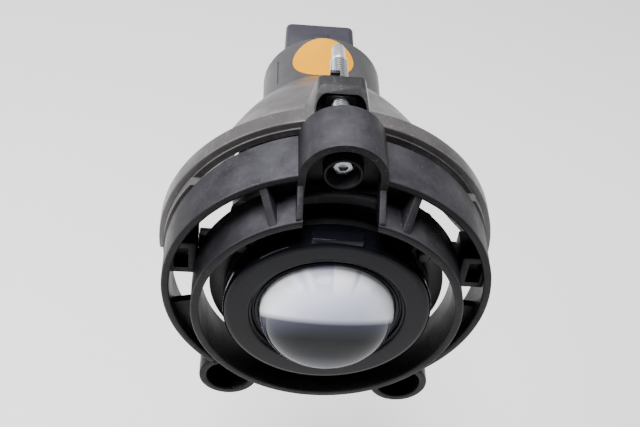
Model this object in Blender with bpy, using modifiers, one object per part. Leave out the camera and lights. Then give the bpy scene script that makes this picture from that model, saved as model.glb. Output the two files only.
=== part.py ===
"""Projector fog light with a bezel bracket, a tilting lamp module and a twist-off rear cap.

Axes: the lamp looks along -Y, +X is to the right of someone facing it, +Z is up.
Origin: on the optical axis, in the plane of the rear faces of the two mounting ears.
Lengths below are millimetres. A "station" is the distance behind the front edge of the outer band.
"""

import math

import bmesh
import bpy
from mathutils import Matrix, Vector

MM = 0.001
GAP = 0.3                     # clearance between pieces that touch

# Driving dimensions
EAR_STATION = 14.0            # rear face of the ears: the plane of the origin
BAND_R = 55.0                 # outer band
BAND_WALL = 2.7
RING_R = 44.8                 # middle ring
RING_WALL = 2.9
RING_FRONT = -9.2
RING_REAR = 7.3
BOSS_Z = 53.0                 # centre of the adjuster boss's round top
SCREW_Z = 53.2                # axis of the adjuster screw
BOSS_R = 13.7
BOSS_DEPTH = 17.3
EAR_X = 31.0
EAR_Z = -47.5
EAR_R = 10.5
PIVOT_STATION = 12.2          # tilt axis, across the lamp
PIVOT_Z = 10.0
LENS_R = 22.2                 # visible radius of the lens
GLOSS_R = 34.3                # glossy ring round the lens
CORE_R = 33.0                 # round core of the rear housing
CORE_BORE = 29.8
HOOD_R = 57.4                 # flange of the hood
HOOD_WALL = 2.5
HOOD_SILL_Z = -1.2            # the hood stops here, just below the optical axis
CAP_R = 23.3
CAP_FRONT = 86.4
CAP_REAR = 113.0
NECK_REAR = 86.0
SCREW_R = 3.0                 # M6 x 1 adjuster
THREAD_PITCH = 1.0
THREAD_FRONT = 33.0
THREAD_REAR = 57.0
SCREW_TIP = 65.2
NUT_NECK_R = 3.9
LUG_REAR = 40.6
LIP_FRONT = 17.7
CONNECTOR_X = -1.75
CONNECTOR_Z = 8.6
CONNECTOR_WIDTH = 27.2
CONNECTOR_HEIGHT = 16.0
CONNECTOR_REAR = 129.0

FINE = 44                     # sides of a large round piece
COARSE = 24                   # sides of a small one

for old in list(bpy.data.objects):
    bpy.data.objects.remove(old, do_unlink=True)

parts = bpy.data.collections.new("fog_light")
cutters = bpy.data.collections.new("cutters")
bpy.context.scene.collection.children.link(parts)
bpy.context.scene.collection.children.link(cutters)


# ---------------------------------------------------------------- materials

def material(name, color, roughness, metallic=0.0, transmission=0.0):
    made = bpy.data.materials.new(name)
    made.use_nodes = True
    shader = made.node_tree.nodes["Principled BSDF"]
    shader.inputs["Base Color"].default_value = (*color, 1.0)
    shader.inputs["Roughness"].default_value = roughness
    shader.inputs["Metallic"].default_value = metallic
    shader.inputs["Transmission Weight"].default_value = transmission
    return made


BLACK = material("black_plastic", (0.028, 0.028, 0.032), 0.62)
GREY = material("grey_plastic", (0.24, 0.22, 0.23), 0.48)
CAP_GREY = material("cap_plastic", (0.13, 0.13, 0.14), 0.5)
CONNECTOR_GREY = material("connector_plastic", (0.075, 0.075, 0.095), 0.55)
GLOSS = material("gloss_black", (0.008, 0.008, 0.012), 0.12)
INNER_BLACK = material("carrier_plastic", (0.012, 0.012, 0.013), 0.6)
GLASS = material("lens_glass", (0.93, 0.94, 0.98), 0.03, 0.0, 1.0)
BULB_GLASS = material("bulb_glass", (0.97, 0.97, 0.97), 0.02, 0.0, 1.0)
RUBBER = material("seal_rubber", (0.02, 0.02, 0.02), 0.8)
MIRROR = material("reflector_aluminium", (0.9, 0.9, 0.9), 0.08, 1.0)
STEEL = material("zinc_steel", (0.72, 0.73, 0.74), 0.3, 1.0)
SPRING = material("spring_steel", (0.5, 0.5, 0.52), 0.35, 1.0)
BLACK_STEEL = material("black_steel", (0.02, 0.02, 0.021), 0.4, 1.0)
SHIELD = material("shield_steel", (0.35, 0.35, 0.36), 0.4, 1.0)
BRASS = material("terminal_brass", (0.75, 0.6, 0.3), 0.3, 1.0)
TUNGSTEN = material("tungsten", (0.4, 0.4, 0.4), 0.4, 1.0)
CERAMIC = material("bulb_base_plastic", (0.3, 0.3, 0.31), 0.6)
NYLON = material("nut_nylon", (0.02, 0.02, 0.02), 0.5)
ORANGE = material("orange_label", (1.0, 0.42, 0.06), 0.55)
LEAD = material("lead_insulation", (0.05, 0.05, 0.05), 0.5)


# ---------------------------------------------------------------- shape tools

def station(value):
    """World Y, in metres, of a station in millimetres."""
    return (value - EAR_STATION) * MM


def point(x, s, z):
    return Vector((x * MM, station(s), z * MM))


def link(name, mesh, look, collection=parts):
    piece = bpy.data.objects.new(name, mesh)
    collection.objects.link(piece)
    if look is not None and not mesh.materials:
        mesh.materials.append(look)
    return piece


def smooth(piece, angle=40.0):
    piece.data.shade_smooth()
    piece.data.set_sharp_from_angle(angle=math.radians(angle))


def turned(name, outline, look=None, sides=FINE, x=0.0, z=0.0, closed=True):
    """Turn an outline of (station, radius) about an axis along Y through (x, z).

    The outline runs front to back along the outside, and back along the inside.
    """
    mesh = bpy.data.meshes.new(name)
    corners = [(r * MM, 0.0, -s * MM) for s, r in outline]
    edges = [(i, i + 1) for i in range(len(corners) - 1)]
    if closed:
        edges.append((len(corners) - 1, 0))
    mesh.from_pydata(corners, edges, [])
    piece = link(name, mesh, look)
    piece.rotation_euler = (math.pi / 2, 0.0, 0.0)
    piece.location = point(x, 0.0, z)
    screw = piece.modifiers.new("turn", "SCREW")
    screw.axis = "Z"
    screw.angle = math.tau
    screw.steps = sides
    screw.render_steps = sides
    screw.use_merge_vertices = True
    screw.merge_threshold = 0.00005
    screw.use_smooth_shade = True
    return piece


def flat(name, outlines, thickness, look, frame):
    """Extrude closed 2D outlines (the first is the edge, the rest are holes) and place them."""
    curve = bpy.data.curves.new(name, "CURVE")
    curve.dimensions = "2D"
    curve.fill_mode = "BOTH"
    curve.extrude = thickness / 2 * MM
    for outline in outlines:
        spline = curve.splines.new("POLY")
        spline.points.add(len(outline) - 1)
        for corner, (u, v) in zip(spline.points, outline):
            corner.co = (u * MM, v * MM, 0.0, 1.0)
        spline.use_cyclic_u = True
    return to_mesh(name, curve, look, frame)


def to_mesh(name, curve, look, frame):
    holder = bpy.data.objects.new(name + "_curve", curve)
    bpy.context.scene.collection.objects.link(holder)
    holder.matrix_world = frame
    bpy.context.view_layer.update()
    graph = bpy.context.evaluated_depsgraph_get()
    mesh = bpy.data.meshes.new_from_object(holder.evaluated_get(graph))
    bpy.data.objects.remove(holder, do_unlink=True)
    shape = bmesh.new()
    shape.from_mesh(mesh)
    bmesh.ops.remove_doubles(shape, verts=shape.verts, dist=0.000001)
    bmesh.ops.recalc_face_normals(shape, faces=shape.faces)
    shape.to_mesh(mesh)
    shape.free()
    mesh.name = name
    piece = link(name, mesh, look)
    piece.matrix_world = frame
    return piece


def prism(name, outlines, front, back, look=None):
    """Outlines in (x, z), extruded between two stations."""
    frame = Matrix.Translation(point(0.0, (front + back) / 2, 0.0)) @ Matrix.Rotation(math.pi / 2, 4, "X")
    return flat(name, outlines, back - front, look, frame)


def side_plate(name, outline, thickness, look=None, turn=0.0):
    """An outline in (station, radius), extruded sideways and turned about the optical axis."""
    upright = Matrix(((0, 0, 1, 0), (1, 0, 0, 0), (0, 1, 0, 0), (0, 0, 0, 1)))
    frame = Matrix.Rotation(turn, 4, "Y") @ Matrix.Translation(point(0.0, 0.0, 0.0)) @ upright
    return flat(name, [outline], thickness, look, frame)


def box(name, xs, stations, zs, look=None):
    mesh = bpy.data.meshes.new(name)
    shape = bmesh.new()
    size = Vector((xs[1] - xs[0], stations[1] - stations[0], zs[1] - zs[0])) * MM
    bmesh.ops.create_cube(shape, size=1.0, matrix=Matrix.Diagonal((*size, 1.0)))
    shape.to_mesh(mesh)
    shape.free()
    piece = link(name, mesh, look)
    piece.location = point(sum(xs) / 2, sum(stations) / 2, sum(zs) / 2)
    return piece


def rod(name, radius, start, end, look=None, sides=COARSE):
    """A cylinder between two (x, station, z) points."""
    first = point(*start)
    span = point(*end) - first
    mesh = bpy.data.meshes.new(name)
    shape = bmesh.new()
    bmesh.ops.create_cone(shape, cap_ends=True, segments=sides, radius1=radius * MM,
                          radius2=radius * MM, depth=span.length)
    shape.to_mesh(mesh)
    shape.free()
    piece = link(name, mesh, look)
    piece.location = first + span / 2
    piece.rotation_euler = span.to_track_quat("Z", "Y").to_euler()
    return piece


def wire(name, radius, corners, look):
    """A round wire through (x, station, z) points."""
    curve = bpy.data.curves.new(name, "CURVE")
    curve.dimensions = "3D"
    curve.bevel_depth = radius * MM
    curve.bevel_resolution = 2
    curve.use_fill_caps = True
    spline = curve.splines.new("POLY")
    spline.points.add(len(corners) - 1)
    for corner, place in zip(spline.points, corners):
        corner.co = (*point(*place), 1.0)
    return to_mesh(name, curve, look, Matrix.Identity(4))


def arc(u, v, radius, start, end, steps):
    """Points along an arc, with angles in degrees."""
    angles = [math.radians(start + (end - start) * i / steps) for i in range(steps + 1)]
    return [(u + radius * math.cos(a), v + radius * math.sin(a)) for a in angles]


def arch(half_width, base_z, centre_z, steps=16):
    """An upright arch in (x, z): straight sides from the base, and a round top."""
    return [(-half_width, base_z), (half_width, base_z)] + arc(0.0, centre_z, half_width, 0, 180, steps)


def rounded_rectangle(width, height, radius, x=0.0, z=0.0, steps=4):
    right = x + width / 2 - radius
    left = x - width / 2 + radius
    top = z + height / 2 - radius
    bottom = z - height / 2 + radius
    return (arc(right, top, radius, 0, 90, steps) + arc(left, top, radius, 90, 180, steps)
            + arc(left, bottom, radius, 180, 270, steps) + arc(right, bottom, radius, 270, 360, steps))


def hide_tool(tool):
    for collection in list(tool.users_collection):
        collection.objects.unlink(tool)
    cutters.objects.link(tool)
    tool.hide_render = True
    tool.display_type = "WIRE"


def combine(target, tools, operation):
    for tool in tools:
        step = target.modifiers.new(tool.name, "BOOLEAN")
        step.operation = operation
        step.solver = "EXACT"
        step.object = tool
        hide_tool(tool)
    return target


def join(target, *tools):
    return combine(target, tools, "UNION")


def cut(target, *tools):
    return combine(target, tools, "DIFFERENCE")


# ---------------------------------------------------------------- bezel bracket (fixed)

def bezel_bracket():
    band = turned("bezel_bracket", [
        (0.0, BAND_R - 0.8), (0.8, BAND_R), (18.3, BAND_R),
        (18.3, BAND_R - BAND_WALL), (0.8, BAND_R - BAND_WALL), (0.0, BAND_R - BAND_WALL + 0.6)], BLACK)
    # The band's rear edge leans: 18.3 deep at the top, 14 at the sides, less below.
    lean = math.atan2(18.3 - 14.0, BAND_R)
    trimmer = box("band_trimmer", (-70, 70), (0, 40), (-70, 70))
    trimmer.rotation_euler = (-lean, 0.0, 0.0)
    trimmer.location = point(0.0, 14.0, 0.0) + Vector((0.0, 20.0 * MM * math.cos(lean), -20.0 * MM * math.sin(lean)))
    cut(band, trimmer)

    ring = turned("middle_ring", [
        (RING_FRONT, RING_R - 0.7), (RING_FRONT + 0.7, RING_R), (RING_REAR, RING_R),
        (RING_REAR, RING_R - RING_WALL), (RING_FRONT + 0.7, RING_R - RING_WALL),
        (RING_FRONT, RING_R - RING_WALL + 0.7)])
    notch = prism("notch", [rounded_rectangle(23.0, 24.0, 5.0, 0.0, 36.6)], RING_FRONT - 1.0, 1.0)
    cut(ring, notch)
    join(band, ring)

    # Closed panel above the middle ring, between the two radial ribs.
    inner = RING_R - 1.4
    outer = BAND_R - 1.4
    panel = prism("top_panel", [arc(0, 0, outer, 62, 118, 20) + arc(0, 0, inner, 118, 62, 20)], 3.0, 5.6)
    join(band, panel)
    # Floor between middle ring and band, round the lower part.
    floor = prism("floor_panel", [arc(0, 0, outer, 194, 352, 42) + arc(0, 0, inner, 352, 194, 42)], 4.2, 6.8)
    join(band, floor)
    for sign in (-1, 1):
        rib_outline = [(RING_FRONT + 0.6, inner), (RING_FRONT + 0.6, RING_R - 0.4), (0.6, BAND_R - 2.0),
                       (0.6, outer), (7.0, outer), (7.0, inner)]
        join(band, side_plate("rib_%d" % sign, rib_outline, 2.6, turn=sign * math.radians(27.0)))
        wall_outline = [(RING_FRONT + 0.6, 41.2), (RING_FRONT + 0.6, 43.2), (0.3, 50.0), (7.0, 50.0), (7.0, 41.2)]
        cheek = side_plate("cheek_%d" % sign, wall_outline, 2.1)
        cheek.location.x += sign * 12.55 * MM
        join(band, cheek)

    # Adjuster boss: an arched block with a recess, a collar in it and a bore for the screw.
    boss_place = prism("boss_place", [arch(BOSS_R - 1.3, 44.7, BOSS_Z, 12)], -2.0, 20.0)
    cut(band, boss_place)
    boss = prism("boss", [arch(BOSS_R, 43.4, BOSS_Z)], -0.3, BOSS_DEPTH)
    recess = prism("boss_recess", [arch(BOSS_R - 2.4, 40.0, BOSS_Z, 12)], -1.0, 6.0)
    collar = rod("boss_collar", 5.7, (0, 1.4, SCREW_Z), (0, 7.0, SCREW_Z))
    cut(boss, recess)
    join(boss, collar)
    cut(boss, rod("screw_head_bore", 4.6, (0, 0.5, SCREW_Z), (0, 9.0, SCREW_Z)),
        rod("screw_bore", SCREW_R + GAP, (0, 8.0, SCREW_Z), (0, 21.0, SCREW_Z), sides=20))
    join(band, boss)

    for sign in (-1, 1):
        centre = (sign * EAR_X, EAR_Z)
        ear = rod("ear_%d" % sign, EAR_R, (centre[0], 0.25, centre[1]), (centre[0], EAR_STATION, centre[1]))
        pocket = rod("ear_pocket_%d" % sign, EAR_R - 2.7, (centre[0], -1.0, centre[1]), (centre[0], 11.0, centre[1]))
        bolt_hole = rod("ear_hole_%d" % sign, 3.3, (centre[0], 10.0, centre[1]), (centre[0], 15.0, centre[1]), sides=24)
        join(band, ear)
        cut(band, pocket, bolt_hole)

    # Bearing block for each side pivot, between middle ring and band.
    for sign in (-1, 1):
        near, far = sorted((sign * 43.4, sign * 53.6))
        block = box("bearing_block_%d" % sign, (near, far), (4.0, 16.6), (PIVOT_Z - 7.2, PIVOT_Z + 7.2))
        keep = rod("bearing_limit_%d" % sign, BAND_R - 1.0, (0, 3.0, 0), (0, 18.0, 0), sides=FINE)
        trim = block.modifiers.new("inside the band", "BOOLEAN")
        trim.operation = "INTERSECT"
        trim.solver = "EXACT"
        trim.object = keep
        hide_tool(keep)
        near, far = sorted((sign * 46.2, sign * 51.0))
        pocket = box("bearing_pocket_%d" % sign, (near, far), (3.0, 8.2), (PIVOT_Z - 4.6, PIVOT_Z + 4.6))
        bore = rod("bearing_bore_%d" % sign, 2.8, (sign * 42.0, PIVOT_STATION, PIVOT_Z),
                   (sign * 51.0, PIVOT_STATION, PIVOT_Z), sides=24)
        cut(block, pocket, bore)
        join(band, block)
    return band


# ---------------------------------------------------------------- rear housing (tilts)

def hood_outline():
    """Outer line of the hood, front to back: lip, groove, flange rim, then the dome."""
    front = [(LIP_FRONT, 55.6), (21.2, 55.6), (21.2, 54.9), (22.0, 54.9), (22.0, HOOD_R), (28.4, HOOD_R)]
    dome = [(29.2, 54.8), (35.0, 51.4), (43.0, 46.7), (52.0, 42.5), (61.0, 38.7), (70.0, 34.5), (78.0, 30.0),
            (85.6, 25.2)]
    return front, dome


def rear_housing():
    front, dome = hood_outline()
    lining = [(s, r - HOOD_WALL) for s, r in reversed(dome)]
    hood = turned("hood", front + dome + lining + [(28.0, 52.4), (LIP_FRONT, 52.8)],
                  sides=FINE + 2)
    # The hood is open underneath; its lower edge rises towards the back.
    sill = side_plate("sill_cutter", [
        (10, -70), (10, -6.5), (24, -4.6), (33, HOOD_SILL_Z), (100, HOOD_SILL_Z), (100, -70)], 140.0)
    slot = box("screw_slot", (-8.9, 8.9), (10, 38.2), (44.5, 70))
    # At the top the band reaches further back, so the lip is cut away under it.
    lip = box("lip_cutter", (-70, 70), (10, 21.4), (30, 70))
    cut(hood, sill, lip)

    core = turned("rear_housing", [
        (3.8, CORE_R), (58.0, CORE_R), (77.0, 24.9), (NECK_REAR, 24.1), (NECK_REAR, 20.8), (83.0, 20.8),
        (83.0, 22.5), (79.6, 22.5), (79.6, 18.0), (72.7, 18.0), (72.7, 10.0), (69.5, 10.0), (69.5, 24.0),
        (56.0, 27.9), (34.6, 27.9), (34.6, CORE_BORE), (3.8, CORE_BORE)], GREY)
    flange = prism("front_flange", [arc(0, 0, 39.2, 130, 410, 40) + arc(0, 0, 31.5, 410, 130, 40)], 4.4, 6.8)
    join(core, hood, flange)
    cut(core, slot)

    # Arched lug over the slot, which carries the adjuster nut.
    outside = [(-11.8, 44.0), (11.8, 44.0)] + arc(5.6, 57.8, 2.4, 10, 90, 5) + arc(-5.6, 57.8, 2.4, 90, 170, 5)
    inside = [(-10.0, 42.0), (10.0, 42.0)] + arc(4.6, 54.8, 3.6, 0, 90, 5) + arc(-4.6, 54.8, 3.6, 90, 180, 5)
    lug = prism("lug", [outside], 27.0, LUG_REAR)
    tunnel = prism("lug_tunnel", [inside], 25.0, 38.3)
    ramp = side_plate("lug_ramp", [(20, 51.5), (26, 51.5), (36.2, 60.6), (36.2, 66), (20, 66)], 40.0)
    under = rod("lug_under", 46.5, (0, 24, 0), (0, 50, 0), sides=FINE)
    cut(lug, tunnel, ramp, under)
    join(core, lug)
    slot_arcs = arc(0, SCREW_Z + 1.25, NUT_NECK_R, 0, 180, 8) + arc(0, SCREW_Z - 1.25, NUT_NECK_R, 180, 360, 8)
    cut(core, prism("nut_slot", [slot_arcs], 37.5, 46.0))

    # Side pivot bosses, with a bore for each pin, and one stiffening web under the hood.
    for sign in (-1, 1):
        join(core, rod("pivot_boss_%d" % sign, 4.3, (sign * 31.0, PIVOT_STATION, PIVOT_Z),
                       (sign * 43.1, PIVOT_STATION, PIVOT_Z), sides=24))
        cut(core, rod("pivot_bore_%d" % sign, 2.8, (sign * 25.0, PIVOT_STATION, PIVOT_Z),
                      (sign * 44.0, PIVOT_STATION, PIVOT_Z), sides=24))
        web = side_plate("hood_web_%d" % sign, [(30.0, 31.0), (30.0, 53.6), (43.0, 45.4), (61.0, 37.4), (61.0, 31.0)],
                         2.2, turn=sign * math.radians(38.0))
        join(core, web)
    for angle in CARRIER_SCREW_ANGLES:
        x, z = carrier_screw_place(angle)
        screw_boss = rod("screw_boss_%d" % angle, 4.2, (x, 4.1, z), (x, 15.0, z), sides=20)
        screw_hole = rod("screw_hole_%d" % angle, 1.4 + GAP, (x, 3.0, z), (x, 12.6, z), sides=16)
        keep_bore = rod("bore_keeper_%d" % angle, CORE_BORE, (0, 3.0, 0), (0, 16.0, 0), sides=FINE)
        cut(screw_boss, keep_bore)
        join(core, screw_boss)
        cut(core, screw_hole)
    # Entry slots of the bayonet in the rear neck.
    for angle in BAYONET_ANGLES:
        entry = box("bayonet_entry_%d" % angle, (19.5, 22.3), (79.9, 87.0), (-3.6, 3.6))
        turn_about_axis(entry, angle)
        cut(core, entry)
    return core


CARRIER_SCREW_ANGLES = (38, 142, 270)
BAYONET_ANGLES = (90, 210, 330)
BAYONET_TURN = 30.0           # how far the cap turns to unlock


def carrier_screw_place(angle, radius=37.0):
    return radius * math.cos(math.radians(angle)), radius * math.sin(math.radians(angle))


def turn_about_axis(piece, angle):
    """Turn a piece about the optical axis; the angle runs from +X towards +Z."""
    bpy.context.view_layer.update()
    piece.matrix_world = Matrix.Rotation(-math.radians(angle), 4, "Y") @ piece.matrix_world


# ---------------------------------------------------------------- lens group (tilts)

def lens_carrier():
    carrier = turned("lens_carrier", [
        (-6.2, 32.2), (-0.6, 32.2), (-0.6, GLOSS_R), (2.2, GLOSS_R), (2.2, 29.3), (30.8, 29.3), (30.8, 26.6),
        (6.0, 26.6), (-2.9, 22.6), (-2.9, 26.3), (-6.2, 26.3)], INNER_BLACK)
    for angle in CARRIER_SCREW_ANGLES:
        x, z = carrier_screw_place(angle)
        tab = rod("carrier_tab_%d" % angle, 4.2, (x, -0.3, z), (x, 1.9, z), sides=20)
        hole = rod("carrier_hole_%d" % angle, 1.4 + GAP, (x, -2.0, z), (x, 4.0, z), sides=16)
        join(carrier, tab)
        cut(carrier, hole)
    return carrier


def carrier_screw(number, angle):
    x, z = carrier_screw_place(angle)
    outline = [(-2.4, 0.0), (-2.4, 1.7), (-1.9, 2.3), (-0.6, 2.3), (-0.6, 1.4), (11.0, 1.4), (12.0, 0.0)]
    return turned("carrier_screw_%d" % number, outline, BLACK_STEEL, sides=20, x=x, z=z, closed=False)


def lens():
    sag = 17.0
    squareness = 2.0 / 2.6
    steps = 12
    dome = []
    for i in range(steps):
        angle = math.pi / 2 * i / steps
        dome.append((-5.0 - sag * math.cos(angle) ** squareness, LENS_R * math.sin(angle) ** squareness))
    outline = dome + [(-5.0, LENS_R), (-5.0, 26.0), (-3.2, 26.0), (-3.2, 0.0)]
    return turned("lens", outline, GLASS, sides=40, closed=False)


def lens_seal():
    return turned("lens_seal", [(-6.3, 25.9), (-5.3, 25.9), (-5.3, 22.8), (-6.3, 22.8)], RUBBER, sides=FINE)


def lens_retaining_ring():
    ring = turned("lens_retaining_ring", [
        (-9.0, GLOSS_R - 1.0), (-8.0, GLOSS_R), (-1.0, GLOSS_R), (-1.0, 32.6), (-6.6, 32.6), (-6.6, LENS_R + 0.2),
        (-7.3, LENS_R + 0.2), (-7.6, 23.6), (-6.9, 23.9), (-6.9, 24.5), (-8.3, 24.7), (-9.0, 26.0)], GLOSS)
    return join(ring, box("ring_pad", (-8.0, 8.0), (-8.4, -4.6), (33.0, 35.2)))


def housing_gasket():
    return turned("housing_gasket", [(2.5, 32.6), (3.5, 32.6), (3.5, 30.2), (2.5, 30.2)], RUBBER)


def cutoff_shield():
    """A steel plate whose window is open above a stepped edge."""
    rim = arc(0, 0, 28.9, 0, 360, 48)[:-1]
    window = arc(0, 0, 24.0, 1.5, 178.5, 24) + [(-3.0, 0.63), (0.0, -1.4), (23.95, -1.4)]
    return prism("cutoff_shield", [rim, window], 31.2, 32.4, SHIELD)


def reflector():
    outer = []
    inner = []
    for i in range(6):
        angle = math.radians(8.0 + 66.0 * i / 5)
        outer.append((32.9 + 35.0 * math.sin(angle) * 0.92, 26.9 * math.cos(angle)))
        inner.append((32.9 + 33.6 * math.sin(angle) * 0.92, 25.5 * math.cos(angle)))
    outline = ([(32.8, 29.2), (34.2, 29.2), (34.2, 26.9)] + outer[1:] + [(67.2, 7.3)]
               + [(67.2, 6.2)] + list(reversed(inner)) + [(32.8, 25.4)])
    return turned("reflector", outline, MIRROR, sides=32)


def bulb_glass():
    outline = [(44.0, 0.0), (44.6, 2.6), (46.4, 4.6), (49.0, 5.5), (72.0, 5.5),
               (72.0, 4.7), (49.4, 4.7), (47.0, 3.9), (45.4, 2.2), (44.9, 0.0)]
    return turned("bulb_glass", outline, BULB_GLASS, sides=28, closed=False)


def bulb_base():
    return turned("bulb_base", [
        (73.4, 0.0), (73.4, 5.9), (68.6, 5.9), (68.6, 9.4), (74.3, 9.4), (74.3, 15.4), (76.8, 15.4), (76.8, 9.8),
        (84.0, 9.8), (84.0, 0.0)], CERAMIC, sides=28, closed=False)


def bulb_seal():
    return turned("bulb_seal", [(73.0, 13.6), (74.0, 13.6), (74.0, 10.8), (73.0, 10.8)], RUBBER, sides=COARSE)


def filament():
    """Two legs and a cross coil between them."""
    turns = 4
    per_turn = 6
    corners = [(-2.6, 73.0, 0.0), (-2.6, 58.0, 0.0)]
    for i in range(turns * per_turn + 1):
        angle = math.tau * i / per_turn
        corners.append((-2.2 + 4.4 * i / (turns * per_turn), 57.0 - 0.8 * math.cos(angle), 0.8 * math.sin(angle)))
    corners += [(2.6, 58.0, 0.0), (2.6, 73.0, 0.0)]
    return wire("bulb_filament", 0.16, corners, TUNGSTEN)


def bulb_clip():
    """Spring wire that crosses the bulb base and hooks behind the housing's seat on both sides."""
    corners = [(-16.6, 74.4, 0.0), (-16.6, 77.2, 0.0), (-14.6, 78.0, 0.0)]
    corners += [(x, 77.8, z) for x, z in arc(0, 0, 11.4, 180, 360, 14)]
    corners += [(14.6, 78.0, 0.0), (16.6, 77.2, 0.0), (16.6, 74.4, 0.0)]
    return wire("bulb_clip", 0.6, corners, SPRING)


def pivot_pin(name, sign):
    pin = rod(name, 2.5, (sign * 30.2, PIVOT_STATION, PIVOT_Z), (sign * 50.2, PIVOT_STATION, PIVOT_Z), STEEL, 24)
    smooth(pin)
    return pin


# ---------------------------------------------------------------- rear cap (twists off)

def rear_cap():
    cap = turned("rear_cap", [
        (CAP_REAR - 2.6, 0.0), (CAP_REAR - 2.6, 17.4), (79.9, 17.4), (79.9, 20.2), (84.2, 20.2), (84.2, 18.6),
        (85.6, 18.6), (85.6, 20.2),
        (CAP_FRONT, 20.2), (CAP_FRONT, CAP_R),
        (CAP_REAR - 1.6, CAP_R), (CAP_REAR, CAP_R - 1.6), (CAP_REAR, 0.0)],
        CAP_GREY, closed=False)
    for angle in BAYONET_ANGLES:
        # The cap sits turned past its entry slots, so its lugs are behind solid neck.
        lug = box("cap_lug_%d" % angle, (19.0, 22.0), (80.1, 82.5), (-3.2, 3.2))
        turn_about_axis(lug, angle - BAYONET_TURN)
        join(cap, lug)
    for x in TERMINAL_X:
        slot = box("terminal_slot_%d" % x, (x - 1.8, x + 1.8), (105, 118), (CONNECTOR_Z - 0.8, CONNECTOR_Z + 0.8))
        cut(cap, slot)
    return cap


TERMINAL_X = (CONNECTOR_X - 3.6, CONNECTOR_X + 3.6)


def cap_seal():
    seal = turned("cap_seal", [(84.4, 20.5), (85.4, 20.5), (85.4, 18.9), (84.4, 18.9)], RUBBER, sides=FINE)
    return seal


def connector_shroud():
    outside = rounded_rectangle(CONNECTOR_WIDTH, CONNECTOR_HEIGHT, 2.6, CONNECTOR_X, CONNECTOR_Z)
    inside = rounded_rectangle(CONNECTOR_WIDTH - 4.4, CONNECTOR_HEIGHT - 4.4, 1.6, CONNECTOR_X, CONNECTOR_Z)
    shroud = prism("connector_shroud", [outside], CAP_REAR + GAP, CONNECTOR_REAR, CONNECTOR_GREY)
    cut(shroud, prism("connector_mouth", [inside], CAP_REAR + 2.6, CONNECTOR_REAR + 1.0))
    for x in TERMINAL_X:
        cut(shroud, box("shroud_slot_%d" % x, (x - 1.8, x + 1.8), (110, 117), (CONNECTOR_Z - 0.8, CONNECTOR_Z + 0.8)))
    latch_outline = [(118.0, 15.0), (118.6, 18.2), (123.0, 16.9), (123.0, 15.0)]
    latch = side_plate("connector_latch", latch_outline, 6.0)
    latch.location.x += CONNECTOR_X * MM
    join(shroud, latch)
    return shroud


def terminal(name, x):
    return box(name, (x - 1.4, x + 1.4), (107.0, 124.5), (CONNECTOR_Z - 0.4, CONNECTOR_Z + 0.4), BRASS)


def lead(name, x, start_x):
    middle = (x + start_x) / 2
    corners = [(start_x, 84.6, 0.0), (start_x, 90.0, 0.6), (middle, 96.0, 4.5), (x, 102.0, CONNECTOR_Z - 0.6),
               (x, 106.6, CONNECTOR_Z)]
    return wire(name, 1.0, corners, LEAD)


def inspection_dot():
    """A round sticker bent over the top of the cap."""
    sleeve = turned("inspection_dot", [
        (87.4, CAP_R + 0.45), (111.4, CAP_R + 0.45), (111.4, CAP_R + 0.15), (87.4, CAP_R + 0.15)], ORANGE)
    punch = rod("dot_punch", 11.6, (-1.4, 99.4, 5.0), (-1.4, 99.4, 35.0), sides=40)
    trim = sleeve.modifiers.new("round outline", "BOOLEAN")
    trim.operation = "INTERSECT"
    trim.solver = "EXACT"
    trim.object = punch
    hide_tool(punch)
    return sleeve


# ---------------------------------------------------------------- adjuster

def adjuster_screw():
    outline = [(4.8, 0.0), (4.8, 3.0), (5.3, 3.4), (7.0, 3.4), (7.0, 4.2), (8.6, 4.2), (8.6, SCREW_R),
               (THREAD_FRONT, SCREW_R)]
    turns = round((THREAD_REAR - THREAD_FRONT) / THREAD_PITCH)
    for i in range(turns):
        crest = THREAD_FRONT + 0.3 + i * THREAD_PITCH
        outline += [(crest, SCREW_R - 0.5), (crest + 0.5, SCREW_R)]
    outline += [(THREAD_REAR + 0.8, 2.35), (SCREW_TIP - 0.6, 2.35), (SCREW_TIP, 1.8), (SCREW_TIP, 0.0)]
    return turned("adjuster_screw", outline, STEEL, sides=12, z=SCREW_Z, closed=False)


def screw_retainer():
    """Push-on washer that keeps the screw in the boss."""
    return turned("screw_retainer", [
        (17.6, 4.4), (18.2, 6.0), (18.9, 6.0), (18.7, 3.3), (17.6, 3.3)], SPRING, sides=24, z=SCREW_Z)


def adjuster_nut():
    """Plastic nut: a block in the lug's tunnel, a neck through its slot, a barb and a finger behind."""
    nut = prism("adjuster_nut", [rounded_rectangle(10.0, 7.6, 1.0, 0.0, SCREW_Z)], 34.4, 38.0, NYLON)
    neck = rod("nut_neck", NUT_NECK_R - 0.15, (0, 37.0, SCREW_Z), (0, 42.4, SCREW_Z))
    barb = prism("nut_barb", [rounded_rectangle(11.0, 5.0, 1.0, 0.0, SCREW_Z + 0.4)], 40.9, 42.6)
    bore = rod("nut_bore", SCREW_R + GAP, (0, 33.0, SCREW_Z), (0, 44.0, SCREW_Z), sides=20)
    finger = box("nut_finger", (-3.9, -0.6), (41.4, 42.7), (55.0, 61.8))
    join(nut, neck, barb, finger)
    cut(nut, bore)
    return nut


# ---------------------------------------------------------------- assembly

def hang_on(axis_name, place, children):
    """Parent pieces to an empty that stands on their joint's axis."""
    axis = bpy.data.objects.new(axis_name, None)
    parts.objects.link(axis)
    axis.location = place
    bpy.context.view_layer.update()
    for child in children:
        child.parent = axis
        child.matrix_parent_inverse = axis.matrix_world.inverted()
    return axis


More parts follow.
